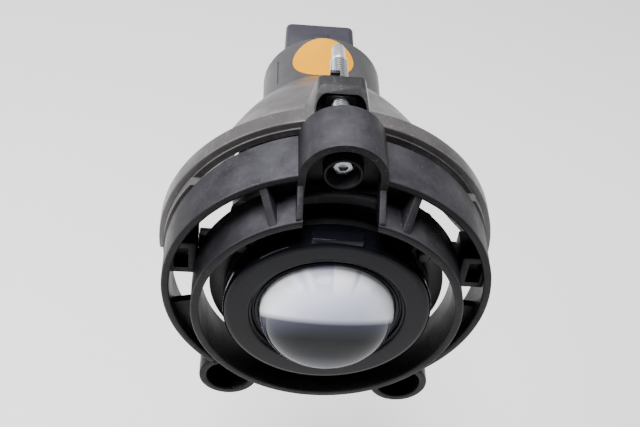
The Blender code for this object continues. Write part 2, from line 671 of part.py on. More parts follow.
bezel_bracket()
screw_pieces = [adjuster_screw(), screw_retainer()]
nut_pieces = [adjuster_nut()]
module_pieces = [rear_housing(), lens_carrier(), lens(), lens_seal(), lens_retaining_ring(), housing_gasket(),
                 cutoff_shield(), reflector(), bulb_glass(), bulb_base(), bulb_seal(), filament(), bulb_clip(),
                 pivot_pin("pivot_pin_left", -1), pivot_pin("pivot_pin_right", 1)]
for index, screw_angle in enumerate(CARRIER_SCREW_ANGLES, 1):
    module_pieces.append(carrier_screw(index, screw_angle))
cap_pieces = [rear_cap(), cap_seal(), connector_shroud(), inspection_dot()]
for side, terminal_x, bulb_x in zip(("left", "right"), TERMINAL_X, (-4.0, 4.0)):
    cap_pieces.append(terminal("terminal_" + side, terminal_x))
    cap_pieces.append(lead("lead_" + side, terminal_x, bulb_x))

tilt_axis = hang_on("tilt_axis", point(0.0, PIVOT_STATION, PIVOT_Z), module_pieces)
hang_on("screw_axis", point(0.0, BOSS_DEPTH, SCREW_Z), screw_pieces)
hang_on("nut_axis", point(0.0, LUG_REAR, SCREW_Z), nut_pieces)
cap_axis = hang_on("cap_axis", point(0.0, CAP_FRONT, 0.0), cap_pieces)
cap_axis.parent = tilt_axis
cap_axis.matrix_parent_inverse = tilt_axis.matrix_world.inverted()
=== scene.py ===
"""Studio view of a projector fog light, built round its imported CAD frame."""

import math

import bmesh
import bpy
from mathutils import Matrix, Vector


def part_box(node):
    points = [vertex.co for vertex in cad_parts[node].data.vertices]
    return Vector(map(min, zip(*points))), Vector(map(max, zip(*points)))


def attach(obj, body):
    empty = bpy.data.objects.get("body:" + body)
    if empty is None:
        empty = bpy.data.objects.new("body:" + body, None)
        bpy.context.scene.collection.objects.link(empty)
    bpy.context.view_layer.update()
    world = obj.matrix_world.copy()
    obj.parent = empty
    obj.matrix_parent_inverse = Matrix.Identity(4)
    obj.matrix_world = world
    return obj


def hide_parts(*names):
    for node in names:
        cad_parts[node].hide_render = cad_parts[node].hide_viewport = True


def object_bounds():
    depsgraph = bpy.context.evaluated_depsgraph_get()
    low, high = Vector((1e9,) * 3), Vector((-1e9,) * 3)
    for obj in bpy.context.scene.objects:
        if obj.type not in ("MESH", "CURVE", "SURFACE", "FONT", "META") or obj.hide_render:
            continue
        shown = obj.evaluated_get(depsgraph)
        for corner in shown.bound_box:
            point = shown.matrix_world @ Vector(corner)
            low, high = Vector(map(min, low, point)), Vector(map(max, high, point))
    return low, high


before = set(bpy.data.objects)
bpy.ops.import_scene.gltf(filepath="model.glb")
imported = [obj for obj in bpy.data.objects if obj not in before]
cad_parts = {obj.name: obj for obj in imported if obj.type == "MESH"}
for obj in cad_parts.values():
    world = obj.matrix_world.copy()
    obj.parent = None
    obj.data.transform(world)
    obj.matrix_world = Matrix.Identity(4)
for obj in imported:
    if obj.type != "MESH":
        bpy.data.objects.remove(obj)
CAD_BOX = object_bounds()

MM = 0.001
ROUND = 128                   # sides of a large round piece
SMALL_ROUND = 48

# ---------------------------------------------------------------- sizes, in millimetres
# A "station" is the distance behind the front edge of the outer band.


def low(node, axis):
    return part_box(node)[0][axis] / MM


def high(node, axis):
    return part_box(node)[1][axis] / MM


X, Y, Z = 0, 1, 2
RING_FRONT = -9.2
EAR_STATION = RING_FRONT - low("bezel_bracket", Y)
BAND_R = high("bezel_bracket", X)
BAND_WALL = 2.7
RING_R = 44.8
RING_WALL = 2.9
RING_REAR = 7.3
INSET = 1.4                   # how far ribs and panels run into the rings
SCREW_Z = (low("adjuster_screw", Z) + high("adjuster_screw", Z)) / 2
BOSS_R = 13.7
BOSS_Z = high("bezel_bracket", Z) - BOSS_R
BOSS_DEPTH = high("bezel_bracket", Y) + EAR_STATION
EAR_X = 31.0
EAR_Z = -47.5
EAR_R = -low("bezel_bracket", Z) + EAR_Z
EAR_WALL = 2.7
PIVOT_STATION = (low("pivot_pin_left", Y) + high("pivot_pin_left", Y)) / 2 + EAR_STATION
PIVOT_Z = (low("pivot_pin_left", Z) + high("pivot_pin_left", Z)) / 2
GLOSS_R = high("lens_retaining_ring", X)
LENS_R = 22.2
HOOD_R = high("rear_housing", X)
HOOD_WALL = 2.5
HOOD_SILL_Z = -1.2
CORE_R = 33.0
CAP_R = high("rear_cap", X)
CAP_REAR = high("rear_cap", Y) + EAR_STATION
CAP_FRONT = CAP_REAR - 26.6
SCREW_TIP = high("adjuster_screw", Y) + EAR_STATION
THREAD_REAR = SCREW_TIP - 8.0
THREAD_FRONT = 20.0
THREAD_PITCH = 1.0
THREAD_DEPTH = 0.55
SCREW_R = 3.0
LUG_REAR = 40.6
NUT_NECK_R = 3.9
PLUG_X = (low("connector_shroud", X) + high("connector_shroud", X)) / 2
PLUG_WIDTH = high("connector_shroud", X) - low("connector_shroud", X)
PLUG_HEIGHT = 16.0
PLUG_Z = low("connector_shroud", Z) + PLUG_HEIGHT / 2
PLUG_REAR = high("connector_shroud", Y) + EAR_STATION


# ---------------------------------------------------------------- material tools

class Look:
    """A Principled material with helpers for the nodes that feed it."""

    def __init__(self, name, roughness=0.5, metallic=0.0, **sockets):
        self.material = bpy.data.materials.new(name)
        self.material.use_nodes = True
        self.tree = self.material.node_tree
        self.shader = self.tree.nodes["Principled BSDF"]
        self.shader.inputs["Roughness"].default_value = roughness
        self.shader.inputs["Metallic"].default_value = metallic
        for socket, value in sockets.items():
            self.shader.inputs[socket.replace("_", " ")].default_value = value
        self.place = self.node("ShaderNodeTexCoord").outputs["Object"]

    def node(self, kind, **inputs):
        made = self.tree.nodes.new(kind)
        for socket, value in inputs.items():
            self.feed(made.inputs[socket.replace("_", " ")], value)
        return made

    def feed(self, socket, value):
        if isinstance(value, bpy.types.NodeSocket):
            self.tree.links.new(value, socket)
        else:
            socket.default_value = value

    def noise(self, scale, detail=4.0, rough=0.55, stretch=None):
        place = self.place
        if stretch is not None:
            place = self.node("ShaderNodeMapping", Vector=self.place, Scale=stretch).outputs["Vector"]
        made = self.node("ShaderNodeTexNoise", Vector=place, Scale=scale, Detail=detail, Roughness=rough)
        return made.outputs["Fac"]

    def ramp(self, factor, stops):
        made = self.node("ShaderNodeValToRGB", Fac=factor)
        ramp = made.color_ramp
        while len(ramp.elements) < len(stops):
            ramp.elements.new(0.5)
        for element, (position, color) in zip(ramp.elements, stops):
            element.position = position
            element.color = (*color, 1.0) if len(color) == 3 else color
        return made.outputs["Color"]

    def span(self, factor, low_in, high_in, low_out, high_out):
        made = self.node("ShaderNodeMapRange", Value=factor, From_Min=low_in, From_Max=high_in,
                         To_Min=low_out, To_Max=high_out)
        return made.outputs["Result"]

    def mix(self, factor, first, second, blend="MIX"):
        made = self.tree.nodes.new("ShaderNodeMix")
        made.data_type = "RGBA"
        made.blend_type = blend
        self.feed(made.inputs["Factor"], factor)
        for index, value in ((6, first), (7, second)):
            self.feed(made.inputs[index], value if isinstance(value, bpy.types.NodeSocket) else (*value, 1.0))
        return made.outputs[2]

    def math(self, operation, first, second):
        made = self.tree.nodes.new("ShaderNodeMath")
        made.operation = operation
        self.feed(made.inputs[0], first)
        self.feed(made.inputs[1], second)
        return made.outputs[0]

    def axis(self, name):
        return self.node("ShaderNodeSeparateXYZ", Vector=self.place).outputs[name]

    def color(self, value):
        self.feed(self.shader.inputs["Base Color"], value)

    def roughness(self, value):
        self.feed(self.shader.inputs["Roughness"], value)

    def bump(self, height, strength, distance):
        made = self.node("ShaderNodeBump", Height=height, Strength=strength, Distance=distance)
        self.feed(self.shader.inputs["Normal"], made.outputs["Normal"])


def moulded(name, dark, base, light, roughness, grain=1400.0, grain_strength=0.25, marks=0.0, dust_and_top_light=0.0,
            specular=0.5):
    """Moulded plastic: soft mottling, fine grain, pale specks and rubs, and a pale film of dust and painted
    top light on what faces up.
    """
    look = Look(name, roughness, Specular_IOR_Level=specular)
    mottle = look.ramp(look.noise(38.0, 5.0), [(0.3, dark), (0.52, base), (0.78, light)])
    fine = look.noise(grain, 3.0)
    color = mottle
    if marks:
        rubs = look.span(look.noise(120.0, 8.0, 0.7, (1.0, 0.35, 1.6)), 0.6, 0.78, 0.0, marks)
        clusters = look.span(look.noise(55.0, 3.0), 0.42, 0.62, 0.1, 1.0)
        dots = look.span(look.noise(1000.0, 2.0), 0.61, 0.71, 0.0, marks * 1.3)
        specks = look.math("MULTIPLY", dots, clusters)
        pale = tuple(min(1.0, channel * 2.2 + 0.05) for channel in light)
        color = look.mix(look.math("MAXIMUM", rubs, specks), mottle, pale)
    # Partly dust, partly painted light from above: a pale bluish film on the upward faces of the piece's
    # upper part.
    if dust_and_top_light:
        normal = look.node("ShaderNodeNewGeometry").outputs["Normal"]
        rise = look.node("ShaderNodeSeparateXYZ", Vector=normal).outputs["Z"]
        upward = look.span(rise, 0.2, 0.95, 0.0, dust_and_top_light)
        patchy = look.span(look.noise(70.0, 6.0, 0.65), 0.3, 0.7, 0.25, 1.0)
        on_top = look.span(look.axis("Z"), 0.015, 0.04, 0.0, 1.0)
        dust_and_top_light_mask = look.math("MULTIPLY", look.math("MULTIPLY", upward, on_top), patchy)
        color = look.mix(dust_and_top_light_mask, color, (0.13, 0.125, 0.145))
    look.color(color)
    look.roughness(look.span(look.noise(85.0, 4.0), 0.3, 0.7, roughness - 0.08, roughness + 0.1))
    look.bump(fine, grain_strength, 0.0002)
    return look.material


def metal(name, base, roughness, metallic=1.0):
    look = Look(name, roughness, metallic)
    tone = tuple(channel * 0.72 for channel in base)
    look.color(look.ramp(look.noise(260.0, 4.0, 0.6), [(0.35, tone), (0.65, base)]))
    look.roughness(look.span(look.noise(420.0, 3.0, 0.6), 0.3, 0.7, roughness - 0.07, roughness + 0.12))
    look.bump(look.noise(1800.0, 2.0, 0.5), 0.12, 0.0001)
    return look.material


def thread_look():
    """Zinc-plated thread, with painted shade at the bottom of its grooves."""
    look = Look("zinc_thread", 0.36, 0.8)
    off_axis = look.math("ADD", look.axis("Z"), -SCREW_Z * MM)
    square = look.math("ADD", look.math("MULTIPLY", look.axis("X"), look.axis("X")),
                       look.math("MULTIPLY", off_axis, off_axis))
    ridge = look.span(look.math("SQRT", square, 0.0), (SCREW_R - 0.48) * MM, (SCREW_R - 0.02) * MM, 0.0, 1.0)
    thread_end = (THREAD_REAR - EAR_STATION) * MM
    plain = look.span(look.axis("Y"), thread_end - 0.0003, thread_end + 0.0002, 0.0, 1.0)
    # Painted shade: the colour darkens towards the bottom of the grooves; the plain rod past the thread stays
    # bright.
    look.color(look.ramp(look.math("MAXIMUM", ridge, plain),
                         [(0.0, (0.1, 0.1, 0.11)), (0.45, (0.35, 0.36, 0.38)), (1.0, (0.95, 0.96, 0.98))]))
    look.bump(look.noise(1800.0, 2.0), 0.12, 0.0001)
    return look.material


def gloss_look():
    look = Look("gloss_black", 0.08, 0.0, Specular_IOR_Level=0.13)
    look.color(look.ramp(look.noise(60.0, 3.0),
                         [(0.35, (0.003, 0.003, 0.0048)), (0.7, (0.006, 0.006, 0.0098))]))
    look.roughness(look.span(look.noise(700.0, 2.0), 0.66, 0.76, 0.07, 0.2))
    look.bump(look.noise(30.0, 2.0), 0.05, 0.0003)
    return look.material


LENS_SIGHT = (0.0, -0.65, 0.76)     # towards someone who looks down at the lens from in front
LENS_BOUNDARY = -0.0051             # height of the painted shield's edge in the lens, in metres


def lens_look():
    """Thick lens over a bright reflector and a dark cut-off shield, with the view through the lens painted
    into its colour.

    The lens turns the view upside down, so a painted image of the reflector fills its upper part and a
    painted image of the shield its lower part, and a painted reflection pales its rim.
    Heights are measured across the line of sight of someone who looks down at the lamp from in front, so the
    painted view is fixed for that one viewpoint.
    """
    look = Look("lens_glass", 0.03, 0.0, Specular_IOR_Level=0.12, IOR=1.52)
    across = look.axis("X")
    tilted = look.node("ShaderNodeVectorMath", Vector=look.place)
    tilted.operation = "DOT_PRODUCT"
    tilted.inputs[1].default_value = (0.0, LENS_SIGHT[2], -LENS_SIGHT[1])
    height = look.math("ADD", tilted.outputs["Value"], -LENS_SIGHT[2] * (low("lens_seal", Y) + 1.3) * MM)
    bow = look.math("MULTIPLY", look.math("MULTIPLY", across, across), -3.0)
    edge = look.math("ADD", height, bow)
    angle = look.math("ARCTAN2", across, look.math("ADD", height, 0.012))
    rays = look.node("ShaderNodeTexNoise", Scale=1.0, Detail=1.0)
    rays.noise_dimensions = "1D"
    look.feed(rays.inputs["W"], look.math("MULTIPLY", angle, 3.2))
    ray = look.span(rays.outputs["Fac"], 0.46, 0.54, 0.0, 1.0)
    # Painted highlight: bright rays across the upper part stand for the reflector's light seen through the
    # lens.
    painted_facets = look.ramp(ray, [(0.0, (0.6, 0.6, 0.76)), (1.0, (0.95, 0.95, 1.0))])
    upper = look.mix(look.span(height, 0.003, 0.0085, 0.0, 1.0), (0.7, 0.71, 0.9), painted_facets)
    # Painted highlight: the upper part turns whiter towards its sides.
    side = look.span(look.math("ABSOLUTE", across, 0.0), 0.009, 0.02, 0.0, 0.8)
    upper = look.mix(side, upper, (1.0, 1.0, 1.0))
    # Painted shade: the shield's dark image fills the lower part, lighter at its bottom and next to the
    # boundary.
    lower = look.ramp(look.span(height, -0.021, LENS_BOUNDARY, 0.0, 1.0),
                      [(0.0, (0.09, 0.09, 0.115)), (0.3, (0.02, 0.02, 0.026)), (0.65, (0.014, 0.014, 0.018)),
                       (1.0, (0.08, 0.083, 0.115))])
    body = look.mix(look.span(edge, LENS_BOUNDARY - 0.0009, LENS_BOUNDARY + 0.0011, 0.0, 1.0), lower, upper)
    # Painted reflection: the colour pales where the surface turns away from the line of sight.
    facing = look.node("ShaderNodeVectorMath", Vector=look.node("ShaderNodeNewGeometry").outputs["Normal"])
    facing.operation = "DOT_PRODUCT"
    facing.inputs[1].default_value = LENS_SIGHT
    look.color(look.mix(look.span(facing.outputs["Value"], 0.02, 0.16, 0.75, 0.0), body, (0.6, 0.6, 0.68)))
    return look.material


BLACK = moulded("bracket_black", (0.0015, 0.0015, 0.0025), (0.003, 0.003, 0.0045), (0.009, 0.009, 0.0125),
                0.45, grain_strength=0.4, marks=0.4, dust_and_top_light=0.5, specular=0.18)
GREY = moulded("housing_grey", (0.05, 0.046, 0.048), (0.085, 0.078, 0.081), (0.15, 0.14, 0.145), 0.36,
               grain=900.0, marks=0.3)
# Painted shade: the lug is moulded with the housing, and this darker copy of the housing grey stands for the
# shade on it.
LUG_GREY_SHADED = moulded("lug_grey_shaded", (0.02, 0.019, 0.02), (0.032, 0.031, 0.033), (0.05, 0.049, 0.052), 0.34,
                   grain=900.0, marks=0.3)
CAP_GREY = moulded("cap_grey", (0.055, 0.053, 0.056), (0.075, 0.073, 0.077), (0.1, 0.098, 0.104), 0.42)
PLUG_GREY = moulded("connector_dark", (0.03, 0.03, 0.04), (0.042, 0.041, 0.054), (0.058, 0.056, 0.072), 0.5)
INNER = moulded("carrier_black", (0.008, 0.008, 0.009), (0.012, 0.012, 0.013), (0.02, 0.02, 0.021), 0.5)
NYLON = moulded("nut_nylon", (0.012, 0.012, 0.013), (0.02, 0.02, 0.022), (0.035, 0.035, 0.038), 0.3)
BULB_BASE = moulded("bulb_base", (0.22, 0.22, 0.23), (0.3, 0.3, 0.31), (0.36, 0.36, 0.37), 0.55)
ORANGE = moulded("orange_label", (0.7, 0.3, 0.0), (0.76, 0.325, 0.0), (0.8, 0.345, 0.0), 0.8,
                 grain_strength=0.05, specular=0.05)
RUBBER = moulded("seal_rubber", (0.012, 0.012, 0.012), (0.02, 0.02, 0.02), (0.035, 0.035, 0.035), 0.75)
LEAD = moulded("lead_insulation", (0.03, 0.03, 0.03), (0.05, 0.05, 0.05), (0.07, 0.07, 0.07), 0.45)
ZINC = metal("zinc_steel", (0.9, 0.91, 0.93), 0.36, metallic=0.8)
# Painted shade: the head sits deep in the boss's collar, so its zinc is a darker copy of the screw's.
ZINC_HEAD_SHADED = metal("zinc_head_shaded", (0.4, 0.41, 0.43), 0.3)
THREAD = thread_look()
BLACK_STEEL = metal("black_steel", (0.03, 0.03, 0.032), 0.4)
SPRING = metal("spring_steel", (0.5, 0.5, 0.52), 0.32)
SHIELD = metal("shield_steel", (0.35, 0.35, 0.36), 0.4)
BRASS = metal("terminal_brass", (0.75, 0.6, 0.3), 0.28)
TUNGSTEN = metal("tungsten", (0.4, 0.4, 0.4), 0.4)
MIRROR = metal("reflector_mirror", (0.92, 0.92, 0.92), 0.1)
GLOSS = gloss_look()
LENS = lens_look()
BULB_GLASS = Look("bulb_glass", 0.02, 0.0, Transmission_Weight=1.0, IOR=1.47).material

KEPT_LOOKS = {
    "lens_carrier": INNER, "lens_seal": RUBBER, "housing_gasket": RUBBER, "cutoff_shield": SHIELD,
    "reflector": MIRROR, "bulb_glass": BULB_GLASS, "bulb_base": BULB_BASE, "bulb_seal": RUBBER,
    "bulb_filament": TUNGSTEN, "bulb_clip": SPRING, "pivot_pin_left": ZINC, "pivot_pin_right": ZINC,
    "carrier_screw_1": BLACK_STEEL, "carrier_screw_2": BLACK_STEEL, "carrier_screw_3": BLACK_STEEL,
    "cap_seal": RUBBER, "screw_retainer": SPRING, "terminal_left": BRASS, "terminal_right": BRASS,
    "lead_left": LEAD, "lead_right": LEAD,
}
for node, kept_look in KEPT_LOOKS.items():
    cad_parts[node].material_slots[0].material = kept_look


# ---------------------------------------------------------------- shape tools

def point(x, station, z):
    return Vector((x * MM, (station - EAR_STATION) * MM, z * MM))


def link(name, mesh):
    made = bpy.data.objects.new(name, mesh)
    bpy.context.scene.collection.objects.link(made)
    return made


def arc(u, v, radius, start, end, steps):
    angles = [math.radians(start + (end - start) * i / steps) for i in range(steps + 1)]
    return [(u + radius * math.cos(a), v + radius * math.sin(a)) for a in angles]


def arch(half_width, base_z, centre_z, steps=32):
    return [(-half_width, base_z), (half_width, base_z)] + arc(0.0, centre_z, half_width, 0, 180, steps)


def rounded_rectangle(width, height, radius, x=0.0, z=0.0, steps=6):
    right = x + width / 2 - radius
    left = x - width / 2 + radius
    top = z + height / 2 - radius
    bottom = z - height / 2 + radius
    return (arc(right, top, radius, 0, 90, steps) + arc(left, top, radius, 90, 180, steps)
            + arc(left, bottom, radius, 180, 270, steps) + arc(right, bottom, radius, 270, 360, steps))


def soften(outline, radius, closed=True, steps=3):
    """Round each corner of an outline."""
    corners = [Vector(corner) for corner in outline]
    count = len(corners)
    result = []
    for i, corner in enumerate(corners):
        if not closed and i in (0, count - 1):
            result.append(tuple(corner))
            continue
        before = corners[i - 1] - corner
        after = corners[(i + 1) % count] - corner
        reach = min(radius, before.length * 0.45, after.length * 0.45)
        start = corner + before.normalized() * reach
        end = corner + after.normalized() * reach
        for step in range(steps + 1):
            t = step / steps
            result.append(tuple((1 - t) ** 2 * start + 2 * t * (1 - t) * corner + t ** 2 * end))
    return result


def curve_through(corners, steps=5):
    """Points on a smooth curve through the corners."""
    result = []
    for i in range(len(corners) - 1):
        p0 = Vector(corners[max(i - 1, 0)])
        p1 = Vector(corners[i])
        p2 = Vector(corners[i + 1])
        p3 = Vector(corners[min(i + 2, len(corners) - 1)])
        for step in range(steps):
            t = step / steps
            place = (2 * p1 + (p2 - p0) * t + (2 * p0 - 5 * p1 + 4 * p2 - p3) * t ** 2
                     + (3 * p1 - p0 - 3 * p2 + p3) * t ** 3) / 2
            result.append(tuple(place))
    return result + [tuple(corners[-1])]


def turned(name, outline, sides=ROUND, x=0.0, z=0.0, closed=True):
    """Turn a (station, radius) outline about an axis along Y."""
    mesh = bpy.data.meshes.new(name)
    edges = [(i, i + 1) for i in range(len(outline) - 1)]
    if closed:
        edges.append((len(outline) - 1, 0))
    mesh.from_pydata([(r * MM, 0.0, -s * MM) for s, r in outline], edges, [])
    made = link(name, mesh)
    made.matrix_world = Matrix.Translation(point(x, 0.0, z)) @ Matrix.Rotation(math.pi / 2, 4, "X")
    screw = made.modifiers.new("turn", "SCREW")
    screw.axis = "Z"
    screw.angle = math.tau
    screw.steps = sides
    screw.render_steps = sides
    screw.use_merge_vertices = True
    screw.merge_threshold = 0.00001
    return baked(made)


def baked(made):
    """Apply an object's modifiers and transform to its mesh."""
    bpy.context.view_layer.update()
    graph = bpy.context.evaluated_depsgraph_get()
    mesh = bpy.data.meshes.new_from_object(made.evaluated_get(graph))
    mesh.transform(made.matrix_world)
    shape = bmesh.new()
    shape.from_mesh(mesh)
    bmesh.ops.remove_doubles(shape, verts=shape.verts, dist=0.000001)
    bmesh.ops.recalc_face_normals(shape, faces=shape.faces)
    shape.to_mesh(mesh)
    shape.free()
    name = made.name
    bpy.data.objects.remove(made, do_unlink=True)
    mesh.name = name
    return link(name, mesh)


def flat(name, outlines, thickness, placed, bevel=0.0):
    curve = bpy.data.curves.new(name, "CURVE")
    curve.dimensions = "2D"
    curve.fill_mode = "BOTH"
    curve.extrude = thickness / 2 * MM
    for outline in outlines:
        spline = curve.splines.new("POLY")
        spline.points.add(len(outline) - 1)
        for corner, (u, v) in zip(spline.points, outline):
            corner.co = (u * MM, v * MM, 0.0, 1.0)
        spline.use_cyclic_u = True
    made = link(name, curve)
    made.matrix_world = placed
    made = baked(made)
    return bevelled(made, bevel) if bevel else made


def bevelled(made, width, segments=3, angle=32.0):
    step = made.modifiers.new("soft edges", "BEVEL")
    step.width = width * MM
    step.segments = segments
    step.limit_method = "ANGLE"
    step.angle_limit = math.radians(angle)
    return baked(made)


def prism(name, outlines, front, back, bevel=0.0):
    placed = Matrix.Translation(point(0.0, (front + back) / 2, 0.0)) @ Matrix.Rotation(math.pi / 2, 4, "X")
    return flat(name, outlines, back - front, placed, bevel)


def side_plate(name, outline, thickness, turn=0.0, x=0.0, bevel=0.0):
    upright = Matrix(((0, 0, 1, 0), (1, 0, 0, 0), (0, 1, 0, 0), (0, 0, 0, 1)))
    placed = Matrix.Rotation(turn, 4, "Y") @ Matrix.Translation(point(x, 0.0, 0.0)) @ upright
    return flat(name, [outline], thickness, placed, bevel)


def box(name, xs, stations, zs, bevel=0.0):
    mesh = bpy.data.meshes.new(name)
    shape = bmesh.new()
    size = Vector((xs[1] - xs[0], stations[1] - stations[0], zs[1] - zs[0])) * MM
    centre = point(sum(xs) / 2, sum(stations) / 2, sum(zs) / 2)
    bmesh.ops.create_cube(shape, size=1.0, matrix=Matrix.Translation(centre) @ Matrix.Diagonal((*size, 1.0)))
    shape.to_mesh(mesh)
    shape.free()
    made = link(name, mesh)
    return bevelled(made, bevel) if bevel else made


def rod(name, radius, start, end, sides=SMALL_ROUND, bevel=0.0):
    first = point(*start)
    span = point(*end) - first
    mesh = bpy.data.meshes.new(name)
    shape = bmesh.new()
    bmesh.ops.create_cone(shape, cap_ends=True, segments=sides, radius1=radius * MM, radius2=radius * MM,
                          depth=span.length)
    shape.to_mesh(mesh)
    shape.free()
    mesh.transform(Matrix.Translation(first + span / 2) @ span.to_track_quat("Z", "Y").to_matrix().to_4x4())
    made = link(name, mesh)
    return bevelled(made, bevel) if bevel else made


def combine(target, tools, operation):
    for tool in tools:
        step = target.modifiers.new(tool.name, "BOOLEAN")
        step.operation = operation
        step.solver = "EXACT"
        step.object = tool
    result = baked(target)
    for tool in tools:
        bpy.data.objects.remove(tool, do_unlink=True)
    return result


def cut(target, *tools):
    return combine(target, tools, "DIFFERENCE")


def join(target, *tools):
    return combine(target, tools, "UNION")


def keep_inside(target, *tools):
    return combine(target, tools, "INTERSECT")


def finished(made, look, body, slot, *nodes, angle=38.0):
    """Shade a piece, give it its look, tie it to its body, and hide the CAD nodes it stands for."""
    made.data.shade_smooth()
    made.data.set_sharp_from_angle(angle=math.radians(angle))
    made.data.materials.clear()
    made.data.materials.append(look)
    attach(made, body)
    if nodes:
        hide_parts(*nodes)
    return made


# ---------------------------------------------------------------- bracket

def ear_room(sign):
    """The space inside one mounting ear's cup."""
    return rod("ear_room", EAR_R - EAR_WALL, (sign * EAR_X, -1.0, EAR_Z), (sign * EAR_X, 11.0, EAR_Z))


def boss_place():
    """The space that the adjuster boss takes out of the rings."""
    return prism("boss_place", [arch(BOSS_R - 1.3, 44.7, BOSS_Z, 24)], -2.0, 22.0)


def outer_band():
    band = turned("outer_band", soften([
        (0.0, BAND_R), (19.0, BAND_R), (19.0, BAND_R - BAND_WALL), (0.0, BAND_R - BAND_WALL)], 0.8))
    lean = math.atan2(18.3 - 14.0, BAND_R)
    trimmer = box("band_trimmer", (-70, 70), (0, 40), (-70, 70))
    middle = point(0.0, 20.0, 0.0)
    shift = Vector((0.0, 20.0 * math.cos(lean) * MM, -20.0 * math.sin(lean) * MM))
    trimmer.data.transform(Matrix.Translation(point(0.0, 14.0, 0.0) + shift) @ Matrix.Rotation(-lean, 4, "X")
                           @ Matrix.Translation(-middle))
    band = cut(band, trimmer, boss_place())
    for sign in (-1, 1):
        band = cut(band, ear_room(sign))
    finished(band, BLACK, "bracket", "bracket_black", "bezel_bracket")


def middle_ring():
    ring = turned("middle_ring", soften([
        (RING_FRONT, RING_R - 0.1), (-2.0, RING_R), (RING_REAR, RING_R), (RING_REAR, RING_R - RING_WALL),
        (RING_FRONT, RING_R - RING_WALL)], 0.7))
    notch = prism("notch", [rounded_rectangle(23.0, 24.0, 5.0, 0.0, 36.6)], RING_FRONT - 1.0, 1.0)
    finished(cut(ring, notch), BLACK, "bracket", "bracket_black", "bezel_bracket")


def ring_panels():
    inner = RING_R - INSET
    outer = BAND_R - INSET
    top = prism("top_panel", [arc(0, 0, outer, 62, 118, 40) + arc(0, 0, inner, 118, 62, 40)], 3.0, 5.6)
    top = cut(top, boss_place())
    floor_outline = arc(0, 0, outer, 194, 352, 84) + arc(0, 0, inner, 352, 194, 84)
    floor_panel = prism("floor_panel", [floor_outline], 4.2, 6.8)
    for sign in (-1, 1):
        floor_panel = cut(floor_panel, ear_room(sign))
    for panel in (top, floor_panel):
        finished(panel, BLACK, "bracket", "bracket_black", "bezel_bracket")


def ribs():
    inner = RING_R - INSET
    outer = BAND_R - INSET
    for sign in (-1, 1):
        side = "left" if sign < 0 else "right"
        rib = side_plate("ring_rib_" + side, [
            (RING_FRONT + 0.5, inner), (RING_FRONT + 0.5, RING_R - 0.4), (0.5, BAND_R - 2.0), (0.5, outer),
            (7.0, outer), (7.0, inner)], 2.6, turn=sign * math.radians(27.0), bevel=0.5)
        cheek = side_plate("boss_cheek_" + side, [
            (RING_FRONT + 0.5, 41.4), (RING_FRONT + 0.5, 43.4), (-4.6, 46.2), (0.3, 50.0), (7.0, 50.0),
            (7.0, 41.4)], 2.1, x=sign * 12.55, bevel=0.5)
        for plate in (rib, cheek):
            finished(plate, BLACK, "bracket", "bracket_black", "bezel_bracket")


def adjuster_boss():
    boss = prism("adjuster_boss", [soften(arch(BOSS_R, 43.4, BOSS_Z, 40), 0.6)], -0.3, BOSS_DEPTH, bevel=0.9)
    recess = prism("boss_recess", [arch(BOSS_R - 2.4, 40.0, BOSS_Z, 40)], -2.0, 6.0)
    boss = cut(boss, recess, rod("screw_bore", SCREW_R + 0.5, (0, 4.0, SCREW_Z), (0, 21.0, SCREW_Z)))
    collar = turned("boss_collar", soften([(1.4, 6.1), (6.6, 6.3), (6.6, 4.4), (1.4, 5.2)], 0.4),
                    sides=SMALL_ROUND, z=SCREW_Z)
    finished(boss, BLACK, "bracket", "bracket_black", "bezel_bracket")
    finished(collar, BLACK, "bracket", "bracket_black", "bezel_bracket")


def ears():
    for sign in (-1, 1):
        side = "left" if sign < 0 else "right"
        cup = turned("mounting_ear_" + side, soften([
            (0.0, EAR_R), (EAR_STATION, EAR_R), (EAR_STATION, 3.3), (11.0, 3.3), (11.0, EAR_R - EAR_WALL),
            (0.0, EAR_R - EAR_WALL)], 0.6), sides=72, x=sign * EAR_X, z=EAR_Z)
        # The ear stops at the outside of the middle ring.
        cup = cut(cup, rod("ring_room", RING_R + 0.2, (0, -20, 0), (0, 30, 0), sides=ROUND))
        finished(cup, BLACK, "bracket", "bracket_black", "bezel_bracket")


def bearing_blocks():
    for sign in (-1, 1):
        side = "left" if sign < 0 else "right"
        near, far = sorted((sign * 43.4, sign * 53.6))
        block = box("bearing_block_" + side, (near, far), (4.0, 16.6), (PIVOT_Z - 7.2, PIVOT_Z + 7.2),
                    bevel=0.5)
        block = keep_inside(block, rod("limit", BAND_R - 1.0, (0, 3, 0), (0, 18, 0), sides=ROUND))
        near, far = sorted((sign * 46.2, sign * 51.0))
        pocket = box("pocket", (near, far), (3.0, 8.2), (PIVOT_Z - 4.6, PIVOT_Z + 4.6), bevel=0.4)
        bore = rod("bore", 2.8, (sign * 42.0, PIVOT_STATION, PIVOT_Z), (sign * 51.0, PIVOT_STATION, PIVOT_Z))
        finished(cut(block, pocket, bore), BLACK, "bracket", "bracket_black", "bezel_bracket")


# ---------------------------------------------------------------- lamp module

def hood_lines():
    rim = soften([(17.7, 55.6), (21.2, 55.6), (21.2, 54.9), (22.0, 54.9), (22.0, HOOD_R), (28.4, HOOD_R),
                  (29.2, 54.9)], 0.5, closed=False)
    dome = curve_through([(29.2, 54.8), (35.0, 51.4), (43.0, 46.7), (52.0, 42.5), (61.0, 38.7), (70.0, 34.5),
                          (78.0, 30.0), (85.6, 25.2)], 4)
    return rim, dome


